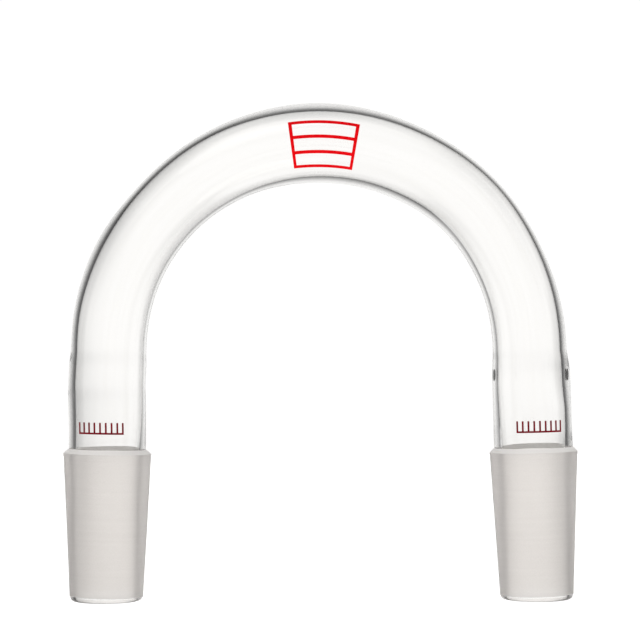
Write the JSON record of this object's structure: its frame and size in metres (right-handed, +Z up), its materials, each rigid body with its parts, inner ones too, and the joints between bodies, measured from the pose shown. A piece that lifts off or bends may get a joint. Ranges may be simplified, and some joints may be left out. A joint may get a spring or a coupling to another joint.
{
  "type": "glass connecting adapter",
  "caption": "Clear glass tube bent into a U, with a male ground-glass taper joint at each end, for linking upright sockets of laboratory glassware.",
  "frame": {"origin": "midway between the two feet, on the bench plane that both tips rest on", "axes": "+Z up through the crown of the bend, +X from the left leg to the right leg, -Y towards the printed front"},
  "size_m": [0.1408, 0.024, 0.136],
  "materials": {
    "clear_glass": "clear borosilicate, fire-polished",
    "ground_glass": "ground, matte, translucent",
    "bright_red_enamel": "fired enamel, glossy",
    "dark_red_enamel": "fired enamel, glossy"
  },
  "bodies": {
    "root": {"bend_tube": "clear_glass", "left_joint_shank": "clear_glass", "left_ground_cone": "ground_glass", "left_joint_tip": "clear_glass", "right_joint_shank": "clear_glass", "right_ground_cone": "ground_glass", "right_joint_tip": "clear_glass", "bend_mark": "bright_red_enamel", "left_shank_mark": "dark_red_enamel", "right_shank_mark": "dark_red_enamel"}
  },
  "joints": []
}
